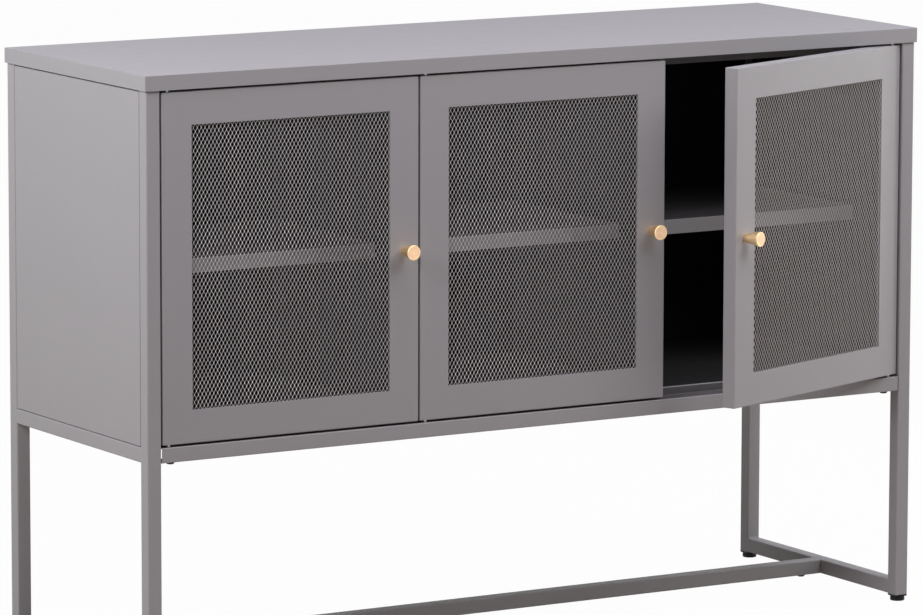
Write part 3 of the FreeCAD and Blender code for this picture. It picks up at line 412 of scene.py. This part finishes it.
# Top
# A flat sheet with a 20 mm skirt round it, closed at the corners, welded and sprayed in one piece. It
# sits over the end frames, and a flange is folded in behind the front skirt to carry the hinges.
SHEET = 0.001
CUT_EDGE = 0.0002
TOP_EDGE = 0.0008
side_low, side_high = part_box("top_side_skirts")
front_low, front_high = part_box("top_front_skirt")
rear_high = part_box("top_rear_skirt")[1]
top_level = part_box("top_panel")[1].z
low = Vector((side_low.x, front_low.y, side_low.z))
high = Vector((side_high.x, rear_high.y, top_level))
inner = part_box("front_top_rail")[1].x
top = block(low, high)
bpy.ops.object.mode_set(mode="EDIT")
pick("EDGE", lambda middle, edge: middle.z > low.z + NEAR)
bpy.ops.mesh.bevel(offset=TOP_EDGE, segments=4, affect="EDGES")
pick("FACE", lambda middle, face: face.normal.z < -ALONG)
bpy.ops.mesh.delete(type="FACE")
for x in (-inner, inner):
    bpy.ops.mesh.select_all(action="SELECT")
    bpy.ops.mesh.bisect(plane_co=(x, 0, 0), plane_no=(1, 0, 0))
pick("EDGE", lambda middle, edge: middle.z < low.z + NEAR and middle.y < low.y + NEAR
     and abs(middle.x) < inner - NEAR)
bpy.ops.mesh.extrude_region_move(TRANSFORM_OT_translate={"value": (0, front_high.y - front_low.y, 0)})
bpy.ops.mesh.select_all(action="SELECT")
bpy.ops.mesh.normals_make_consistent(inside=False)
bpy.ops.object.mode_set(mode="OBJECT")


def thicken(piece):
    """Gives a folded face the thickness of its sheet, inwards, and breaks the sharp cut edges."""
    only(piece)
    bpy.ops.object.modifier_add(type="SOLIDIFY")
    wall = piece.modifiers[-1]
    wall.thickness = SHEET
    wall.offset = -1
    wall.use_even_offset = True
    bpy.ops.object.modifier_apply(modifier=wall.name)
    bpy.ops.object.modifier_add(type="BEVEL")
    broken = piece.modifiers[-1]
    broken.width = CUT_EDGE
    broken.segments = 1
    broken.angle_limit = math.radians(60)
    bpy.ops.object.modifier_apply(modifier=broken.name)


thicken(top)
dress(top, "top", "cabinet", "grey_powder_coat", grey_coat,
      "top_panel", "top_front_skirt", "top_rear_skirt", "top_side_skirts")
paint(grey_coat, "top_tabs")
paint(zinc, "top_studs", "top_nuts")

# Upper door stop
# An angle of folded sheet across the front, set back under the top. The closed doors come to rest
# against its face, and its flange is spot welded to the top. Its coat is painted darker than the grey, as
# painted shade.
BEND = 0.0015
painted_shade_coat = coat("painted_shade_coat", (0.125, 0.119, 0.126), cloud=0.12, sheen=0.55, grain=620, peel=0.15)


def folded(left, right, y, z, height, onward, downward=()):
    """Folded sheet along X: an upright strip, then each fold drawn out from the last edge."""
    bpy.ops.object.select_all(action="DESELECT")
    bpy.ops.mesh.primitive_plane_add(
        size=1, location=((left + right) / 2, y, z + height / 2), rotation=(math.pi / 2, 0, 0)
    )
    piece = bpy.context.object
    piece.scale = (right - left, height, 1)
    bpy.ops.object.transform_apply()
    bpy.ops.object.mode_set(mode="EDIT")
    for start, folds in (((y, z + height), onward), ((y, z), downward)):
        end = Vector(start)
        for step in folds:
            pick("EDGE", lambda middle, edge: runs(edge, 0) and (middle.yz - end).length < NEAR)
            bpy.ops.mesh.extrude_region_move(TRANSFORM_OT_translate={"value": (0, *step)})
            end += Vector(step)
    bpy.ops.mesh.select_all(action="SELECT")
    bpy.ops.mesh.normals_make_consistent(inside=False)
    form = bmesh.from_edit_mesh(piece.data)
    lip = min(form.faces, key=lambda face: face.calc_center_median().y)
    if lip.normal.y > 0:
        bpy.ops.mesh.flip_normals()
    pick("EDGE", lambda middle, edge: runs(edge, 0) and len(edge.link_faces) == 2)
    bpy.ops.mesh.bevel(offset=BEND, segments=4, affect="EDGES")
    bpy.ops.object.mode_set(mode="OBJECT")
    thicken(piece)
    return piece


low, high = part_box("front_top_rail")
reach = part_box("right_front_leg")[0].x
stop = folded(-reach, reach, low.y, low.z, high.z - low.z, [(high.y - low.y, 0)])
dress(stop, "upper_door_stop", "cabinet", "grey_powder_coat", painted_shade_coat, "front_top_rail")

# Bottom panel
# One sheet folded seven times: a flange, the front lip, the ledge under the doors, the riser that
# stops them, the floor, and a rear skirt with its flange. Four button bolts hold it to welded tabs.
# The ledge and the riser are painted darker, as painted shade.
LIP = 0.020
LEDGE = 0.026
FLANGE = 0.020
LIP_GAP = 0.001
LIP_SKIN = 0.0012
FOLD = 0.003
RISER_TOP = 0.002
TILT = 0.1
low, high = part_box("bottom_panel")
rise = high.z - low.z - LIP
onward = [(LEDGE, 0), (0, rise), (high.y - low.y - LEDGE, 0), (0, low.z - high.z), (-FLANGE, 0)]
floor_panel = folded(-reach, reach, low.y, low.z, LIP, onward, [(FLANGE, 0)])
bpy.ops.object.mode_set(mode="EDIT")
for hand in (-1, 1):
    pick("VERT", lambda middle, corner: middle.x * hand > reach - LIP_GAP and middle.y < low.y + LIP_SKIN)
    bpy.ops.transform.translate(value=(-hand * LIP_GAP, 0, 0))
bpy.ops.object.mode_set(mode="OBJECT")
dress(floor_panel, "floor_panel", "cabinet", "grey_powder_coat", grey_coat, "bottom_panel")


def coat_or_shade_faces(piece, material, test):
    """Puts another coat, or painted shade, on the faces that pass a test."""
    piece.data.materials.append(material)
    for side in piece.data.polygons:
        if test(side):
            side.material_index = len(piece.data.materials) - 1


# Painted shade: the ledge and the riser get the darker coat that stands in for shade.
coat_or_shade_faces(floor_panel, painted_shade_coat, lambda side: side.normal.z > -TILT and side.normal.y < TILT
            and FOLD < side.center.y - low.y < LEDGE + FOLD and side.center.z < high.z - RISER_TOP)
floor_level = high.z
paint(grey_coat, "bottom_tabs")
low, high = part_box("bottom_bolts")
four = [copied(bolt, (x, y, low.z + HEAD_DEEP))
        for x in (low.x + HEAD, high.x - HEAD) for y in (low.y + HEAD, high.y - HEAD)]
bpy.data.objects.remove(bolt)
dress(joined(four), "floor_panel_bolts", "cabinet", "black_steel", black_steel, "bottom_bolts")

# Back, partitions and painted shade
# The back is a flat sheet riveted to the rear legs, and two partitions stand behind the gaps between
# the doors. They, the floor, the shelf bearers and the inner faces of the side panels are painted a matt
# near black as painted shade, so the inside stays black. It is shaded as if it leaned up, only to keep the
# nets crisp in the render.
SHADE_LEAN = 0.9
painted_black_shade = coat("dark_lining", (0.020, 0.020, 0.021), cloud=0.25, sheen=0.62, grain=700, peel=0.2)
nodes, links = painted_black_shade.node_tree.nodes, painted_black_shade.node_tree.links
lean = nodes.new("ShaderNodeVectorMath")
lean.inputs[1].default_value = (0, 0, SHADE_LEAN)
links.new(nodes["Bump"].outputs["Normal"], lean.inputs[0])
leaning = nodes.new("ShaderNodeVectorMath")
leaning.operation = "NORMALIZE"
links.new(lean.outputs["Vector"], leaning.inputs[0])
links.new(leaning.outputs["Vector"], nodes["Principled BSDF"].inputs["Normal"])
coat_or_shade_faces(floor_panel, painted_black_shade, lambda side: side.normal.z > FACING and side.center.z > floor_level - NEAR)
for hand, out in (("left", -1), ("right", 1)):
    skin = bpy.data.objects[f"{hand}_side_panel_skin"]
    coat_or_shade_faces(skin, painted_black_shade, lambda side: side.normal.x * out < -FACING)
paint(painted_black_shade, "back_panel", "left_partition", "right_partition", "shelf_bearers")
paint(zinc, "back_panel_rivets", "partition_rivets", "bearer_rivets")
paint(black_plastic, "magnetic_catches")

# Shelves
# One shelf in each bay, a sheet folded down at the front and the rear, resting loose on its bearers.
# The front lips show through the doors' nets as pale bands. The whole shelf is painted a little darker
# than outside, as painted shade, and its upper face much darker still, as painted shadow.
REAR_LIP = 0.015
LIP_PAINTED_SHADE = 0.87
shelf_painted_shade = coat("shelf_painted_shade", [LIP_PAINTED_SHADE * value for value in GREY])
shelf_top_painted_shadow = coat("shelf_top_painted_shadow", (0.080, 0.076, 0.081), cloud=0.12, sheen=0.6, grain=620, peel=0.15)
for bay in ("left", "middle", "right"):
    low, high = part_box(f"{bay}_shelf")
    back = [(high.y - low.y, 0), (0, -REAR_LIP)]
    shelf = folded(low.x, high.x, low.y, low.z, high.z - low.z, back)
    dress(shelf, f"{bay}_shelf_sheet", "cabinet", "grey_powder_coat", shelf_painted_shade, f"{bay}_shelf")
    coat_or_shade_faces(shelf, shelf_top_painted_shadow, lambda side: side.normal.z > FACING and side.center.z > high.z - NEAR)

# Doors
# Each door is a shallow pan of folded sheet with a window cut in it and a flange turned in behind. The
# three are alike. The right one hangs from the right leg, and stands ajar.
STILE = 0.0435
REAR_FLANGE = 0.011
closed_low, closed_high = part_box("left_door_panel")
size = closed_high - closed_low
centre = (closed_low + closed_high) / 2
bpy.ops.object.select_all(action="DESELECT")
bpy.ops.mesh.primitive_plane_add(
    size=1, location=(centre.x, closed_low.y, centre.z), rotation=(math.pi / 2, 0, 0)
)
pan = bpy.context.object
pan.scale = (size.x, size.z, 1)
bpy.ops.object.transform_apply()
bpy.ops.object.mode_set(mode="EDIT")
bpy.ops.mesh.select_all(action="SELECT")
bpy.ops.mesh.inset(thickness=STILE)
bpy.ops.mesh.delete(type="FACE")


def on_rim(middle, edge):
    """Whether an edge of the pan lies on its outline."""
    near_side = min(abs(middle.x - closed_low.x), abs(middle.x - closed_high.x)) < NEAR
    near_end = min(abs(middle.z - closed_low.z), abs(middle.z - closed_high.z)) < NEAR
    return near_side or near_end


pick("EDGE", on_rim)
bpy.ops.mesh.extrude_region_move(TRANSFORM_OT_translate={"value": (0, size.y, 0)})
bpy.ops.mesh.extrude_region_move()
bpy.ops.transform.resize(
    value=(1 - 2 * REAR_FLANGE / size.x, 1, 1 - 2 * REAR_FLANGE / size.z),
    center_override=(centre.x, closed_high.y, centre.z)
)
bpy.ops.mesh.select_all(action="SELECT")
bpy.ops.mesh.normals_make_consistent(inside=False)
form = bmesh.from_edit_mesh(pan.data)
front = min(form.faces, key=lambda face: face.calc_center_median().y)
if front.normal.y > 0:
    bpy.ops.mesh.flip_normals()
pick("EDGE", on_rim)
bpy.ops.mesh.bevel(offset=BEND, segments=4, affect="EDGES")
bpy.ops.object.mode_set(mode="OBJECT")
thicken(pan)

# Window nets
# Expanded metal: a sheet slit in staggered rows and stretched sideways, so that it opens into upright
# lozenges and its strands twist to one side. It is held behind the window and sprayed with the door. Its
# strands are painted much paler than the door's grey, as painted light.
ACROSS = 0.0057
UP = 0.0099
HOLE_WIDE = 0.415 * ACROSS
HOLE_HIGH = 0.415 * UP
WAIST = 0.45
TWIST = 0.0001
STRAND = 0.0003
SAME = 0.00005
HOLE_SIDE = 0.1 * ACROSS
CELL_SIDE = 0.45 * ACROSS
net_low, net_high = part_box("left_door_mesh")
bpy.ops.object.select_all(action="DESELECT")
bpy.ops.mesh.primitive_circle_add(vertices=6, radius=1, rotation=(math.pi / 2, 0, 0))
net = bpy.context.object
net.scale = (HOLE_WIDE / math.cos(math.pi / 6), HOLE_HIGH, 1)
bpy.ops.object.transform_apply()
bpy.ops.object.mode_set(mode="EDIT")
pick("VERT", lambda middle, corner: abs(middle.x) > HOLE_SIDE)
bpy.ops.transform.resize(value=(1, 1, WAIST))
bpy.ops.mesh.select_all(action="SELECT")
bpy.ops.mesh.extrude_region_move()
bpy.ops.transform.resize(value=(ACROSS / 2 / HOLE_WIDE, 1, UP / 2 / HOLE_HIGH))
for hand in (-1, 1):
    pick("VERT", lambda middle, corner: middle.x * hand > CELL_SIDE)
    bpy.ops.mesh.merge(type="CENTER")
    pick("VERT", lambda middle, corner: HOLE_SIDE < middle.x * hand < CELL_SIDE)
    bpy.ops.transform.translate(value=(0, hand * TWIST, 0))
bpy.ops.mesh.select_all(action="SELECT")
bpy.ops.mesh.normals_make_consistent(inside=False)
form = bmesh.from_edit_mesh(net.data)
form.faces.ensure_lookup_table()
if form.faces[0].normal.y > 0:
    bpy.ops.mesh.flip_normals()
bpy.ops.mesh.duplicate_move(TRANSFORM_OT_translate={"value": (ACROSS / 2, 0, UP / 2)})
bpy.ops.object.mode_set(mode="OBJECT")
columns = int((net_high.x - net_low.x) / ACROSS - 0.5)
rows = int((net_high.z - net_low.z) / UP - 0.5)
for count, step in ((columns, (ACROSS, 0, 0)), (rows, (0, 0, UP))):
    bpy.ops.object.modifier_add(type="ARRAY")
    repeat = net.modifiers[-1]
    repeat.use_relative_offset = False
    repeat.use_constant_offset = True
    repeat.constant_offset_displace = step
    repeat.count = count
    bpy.ops.object.modifier_apply(modifier=repeat.name)
bpy.ops.object.mode_set(mode="EDIT")
bpy.ops.mesh.select_all(action="SELECT")
bpy.ops.mesh.remove_doubles(threshold=SAME)
net_middle = (net_low + net_high) / 2
start = Vector(((columns - 0.5) * ACROSS / 2, 0, (rows - 0.5) * UP / 2))
bpy.ops.transform.translate(value=net_middle - start)
bpy.ops.object.mode_set(mode="OBJECT")
bpy.ops.object.modifier_add(type="SOLIDIFY")
net.modifiers[-1].thickness = STRAND
net.modifiers[-1].offset = 0
bpy.ops.object.modifier_apply(modifier=net.modifiers[-1].name)
# Painted light: the strands are coloured much paler than the door's grey.
net_painted_light = coat("net_painted_light", (0.78, 0.765, 0.775), cloud=0.06, sheen=0.42, grain=900, peel=0.1)

# Knobs
# Turned from brass bar: a cone that widens from the door to a short rim, with a bevelled edge and a
# flat face that keeps the fine rings of the tool and is duller. A screw from behind the door holds it.
knob_low, knob_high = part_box("left_knob")
axis = (knob_low + knob_high) / 2
BASE = 0.0055
FACE = 0.0100
PROFILE = (
    (0.0232, FACE),
    (0.0020, FACE),
    (0.0008, FACE - 0.0008),
    (0, FACE - 0.0014),
    (-0.0002, FACE - 0.0018),
    (0, 0.006),
    (0, 0.003),
    (0, 0.0008),
)
TOOL_PITCH = 0.0003
bpy.ops.object.select_all(action="DESELECT")
bpy.ops.mesh.primitive_circle_add(
    vertices=64, radius=BASE, location=(axis.x, knob_high.y, axis.z), rotation=(math.pi / 2, 0, 0)
)
knob = bpy.context.object
bpy.ops.object.transform_apply()
bpy.ops.object.mode_set(mode="EDIT")
bpy.ops.mesh.select_all(action="SELECT")
radius = BASE
for out, wide in PROFILE:
    bpy.ops.mesh.extrude_region_move(TRANSFORM_OT_translate={"value": (0, -out, 0)})
    bpy.ops.transform.resize(value=(wide / radius, 1, wide / radius))
    radius = wide
bpy.ops.mesh.edge_face_add()
pick("EDGE", lambda middle, edge: len(edge.link_faces) < 2)
bpy.ops.mesh.edge_face_add()
bpy.ops.mesh.select_all(action="SELECT")
bpy.ops.mesh.normals_make_consistent(inside=False)
bpy.ops.object.mode_set(mode="OBJECT")
turned = knob.data.attributes.new("turned", "FLOAT", "POINT")
for corner in knob.data.vertices:
    away = math.hypot(corner.co.x - axis.x, corner.co.z - axis.z)
    turned.data[corner.index].value = away + knob_high.y - corner.co.y


def brass_finish(name, dark, light, smooth, dull):
    """Turned brass: warm clouds of tarnish and the fine rings of the lathe."""
    material = bpy.data.materials.new(name)
    material.use_nodes = True
    nodes, links = material.node_tree.nodes, material.node_tree.links
    shader = nodes["Principled BSDF"]
    shader.inputs["Metallic"].default_value = 1
    place = nodes.new("ShaderNodeTexCoord").outputs["Object"]
    clouds = nodes.new("ShaderNodeTexNoise")
    clouds.inputs["Scale"].default_value = 120
    clouds.inputs["Detail"].default_value = 4
    links.new(place, clouds.inputs["Vector"])
    tone = nodes.new("ShaderNodeValToRGB")
    tone.color_ramp.elements[0].position = 0.3
    tone.color_ramp.elements[0].color = (*dark, 1)
    tone.color_ramp.elements[1].position = 0.7
    tone.color_ramp.elements[1].color = (*light, 1)
    links.new(clouds.outputs["Fac"], tone.inputs["Fac"])
    links.new(tone.outputs["Color"], shader.inputs["Base Color"])
    path = nodes.new("ShaderNodeAttribute")
    path.attribute_name = "turned"
    rings = nodes.new("ShaderNodeMath")
    rings.operation = "MULTIPLY"
    rings.inputs[1].default_value = 2 * math.pi / TOOL_PITCH
    links.new(path.outputs["Fac"], rings.inputs[0])
    wave = nodes.new("ShaderNodeMath")
    wave.operation = "SINE"
    links.new(rings.outputs[0], wave.inputs[0])
    sheen = nodes.new("ShaderNodeMapRange")
    sheen.inputs["From Min"].default_value = -1
    sheen.inputs["To Min"].default_value = smooth
    sheen.inputs["To Max"].default_value = dull
    links.new(wave.outputs[0], sheen.inputs["Value"])
    links.new(sheen.outputs["Result"], shader.inputs["Roughness"])
    bump = nodes.new("ShaderNodeBump")
    bump.inputs["Strength"].default_value = 0.25
    bump.inputs["Distance"].default_value = 0.00003
    links.new(wave.outputs[0], bump.inputs["Height"])
    links.new(bump.outputs["Normal"], shader.inputs["Normal"])
    return material


brass = brass_finish("brass", (0.90, 0.62, 0.33), (0.99, 0.76, 0.46), 0.38, 0.48)
brass_face = brass_finish("brass_face", (0.79, 0.59, 0.40), (0.87, 0.67, 0.47), 0.80, 0.90)

# Hanging the doors
# The pan, the net and the knob are copied to each door, and those of the right door are swung about
# its pins. The retaining frames, pins and screws keep their solids.
swing = next(joint for joint in frame["joints"] if joint["name"] == "right_door_swing")
pin = Vector(swing["pos_m"])
ajar = math.radians(-swing["range_deg"][0])
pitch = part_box("middle_door_panel")[0].x - closed_low.x
knob_across = {"left": 0, "middle": pitch, "right": -2 * axis.x}
for step, door in enumerate(("left", "middle", "right")):
    body = f"{door}_door"
    turn = ajar if door == "right" else 0
    facing = Vector((math.sin(turn), -math.cos(turn), 0))
    hung = (
        ("pan", pan, step * pitch, "grey_powder_coat", grey_coat, "door_panel"),
        ("net", net, step * pitch, "grey_powder_coat", net_painted_light, "door_mesh"),
        ("brass_knob", knob, knob_across[door], "brass", brass, "knob"),
    )
    for name, model, across, slot, material, node in hung:
        piece = copied(model, (across, 0, 0))
        if door == "right":
            piece.data.transform(
                Matrix.Translation(pin) @ Matrix.Rotation(ajar, 4, "Z") @ Matrix.Translation(-pin)
            )
        dress(piece, f"{door}_{name}", body, slot, material, f"{door}_{node}")
        if model == knob:
            coat_or_shade_faces(piece, brass_face, lambda side: side.normal.dot(facing) > FACING)
    paint(grey_coat, f"{door}_mesh_frame")
    paint(zinc, f"{door}_hinge_pins", f"{door}_knob_screw")
for model in (pan, net, knob):
    bpy.data.objects.remove(model)

# Floor
# A plain pale studio floor. The camera sees it almost white, as the photo's background is, with a
# trace of the shadow. It throws a warmer light up at the cabinet.
FLOOR_SIZE = 60
FLOOR_WHITE = 0.98
bpy.ops.object.select_all(action="DESELECT")
bpy.ops.mesh.primitive_plane_add(size=FLOOR_SIZE, location=(0, 0, 0))
floor = bpy.context.object
floor.name = "studio_floor"
pale = bpy.data.materials.new("studio_floor")
pale.use_nodes = True
nodes, links = pale.node_tree.nodes, pale.node_tree.links
nodes.remove(nodes["Principled BSDF"])
matt = nodes.new("ShaderNodeBsdfDiffuse")
matt.inputs["Color"].default_value = (0.54, 0.48, 0.42, 1)
glow = nodes.new("ShaderNodeEmission")


def seeing(nodes, links):
    """One for rays that look, straight or in a mirror or glass, and nothing for rays that light."""
    rays = nodes.new("ShaderNodeLightPath")
    seen = nodes.new("ShaderNodeMath")
    seen.operation = "MAXIMUM"
    links.new(rays.outputs["Is Camera Ray"], seen.inputs[0])
    links.new(rays.outputs["Is Glossy Ray"], seen.inputs[1])
    through = nodes.new("ShaderNodeMath")
    through.operation = "MAXIMUM"
    links.new(seen.outputs[0], through.inputs[0])
    links.new(rays.outputs["Is Transmission Ray"], through.inputs[1])
    return through.outputs[0]


share = nodes.new("ShaderNodeMath")
share.operation = "MULTIPLY"
share.inputs[1].default_value = FLOOR_WHITE
links.new(seeing(nodes, links), share.inputs[0])
mixed = nodes.new("ShaderNodeMixShader")
links.new(share.outputs[0], mixed.inputs["Fac"])
links.new(matt.outputs[0], mixed.inputs[1])
links.new(glow.outputs[0], mixed.inputs[2])
links.new(mixed.outputs[0], nodes["Material Output"].inputs["Surface"])
floor.data.materials.append(pale)

# Light
# Soft boxes round the cabinet: the strongest high in front, at the right of the front and to the left,
# weaker ones behind, and a low one on the right. The two highest are a little cooler than the rest. The
# air is white where it is seen or mirrored, and gives no other light.
AIM = Vector((0, 0, 0.5))
COOL = (0.985, 0.93, 1.09)


def softbox(name, around, above, away, size, power, colour=(1, 1, 1)):
    """A square lamp by its angles round and above the middle of the cabinet, turned to look at it."""
    lamp = bpy.data.lights.new(name, "AREA")
    lamp.shape = "SQUARE"
    lamp.size = size
    lamp.energy = power
    lamp.color = colour
    turn = math.radians(around)
    rise = math.radians(above)
    out = Vector((math.sin(turn) * math.cos(rise), -math.cos(turn) * math.cos(rise), math.sin(rise)))
    box = bpy.data.objects.new(name, lamp)
    box.location = AIM + out * away
    box.rotation_mode = "QUATERNION"
    box.rotation_quaternion = (-out).to_track_quat("-Z", "Y")
    box.visible_camera = False
    bpy.context.scene.collection.objects.link(box)


softbox("left_front_box", -75, 30, 2.4, 1.0, 29, (1.0, 0.99, 1.01))
softbox("left_rear_box", -112, 25, 2.2, 1.0, 11.6)
softbox("high_box", 0, 66, 2.6, 1.6, 21.2, COOL)
softbox("right_front_box", 32, 40, 2.6, 1.4, 30.5, (1.01, 1.0, 0.99))
softbox("low_right_box", 85, 8, 2.2, 0.8, 18)
softbox("right_rear_box", 120, 60, 2.6, 1.2, 9.8, COOL)
world = bpy.data.worlds.new("studio_air")
bpy.context.scene.world = world
world.use_nodes = True
nodes, links = world.node_tree.nodes, world.node_tree.links
air = nodes["Background"]
air.inputs["Strength"].default_value = 0
white = nodes.new("ShaderNodeBackground")
mixed = nodes.new("ShaderNodeMixShader")
links.new(seeing(nodes, links), mixed.inputs["Fac"])
links.new(air.outputs[0], mixed.inputs[1])
links.new(white.outputs[0], mixed.inputs[2])
links.new(mixed.outputs[0], nodes["World Output"].inputs["Surface"])

# Camera
# A long lens a little above the cabinet, to the left of its middle. Its place, its turn and its focal
# length were fitted to the cabinet's corners in the photo.
STAND = (-4.3007, -7.1166, 1.6821)
FOCAL_MM = 241.55
FRAME_MM = 36
FAR_ENOUGH = 200
forward = Vector((0.51060, 0.84686, -0.14873)).normalized()
level = Vector((0.85657, -0.51603, 0.00238)).normalized()
upward = level.cross(forward)
lens = bpy.data.cameras.new("camera")
lens.sensor_fit = "HORIZONTAL"
lens.sensor_width = FRAME_MM
lens.lens = FOCAL_MM
lens.clip_end = FAR_ENOUGH
camera = bpy.data.objects.new("camera", lens)
turn = Matrix((level, upward, -forward)).transposed()
camera.matrix_world = Matrix.Translation(STAND) @ turn.to_4x4()
bpy.context.scene.collection.objects.link(camera)
bpy.context.scene.camera = camera
bpy.context.scene.view_settings.view_transform = "Standard"
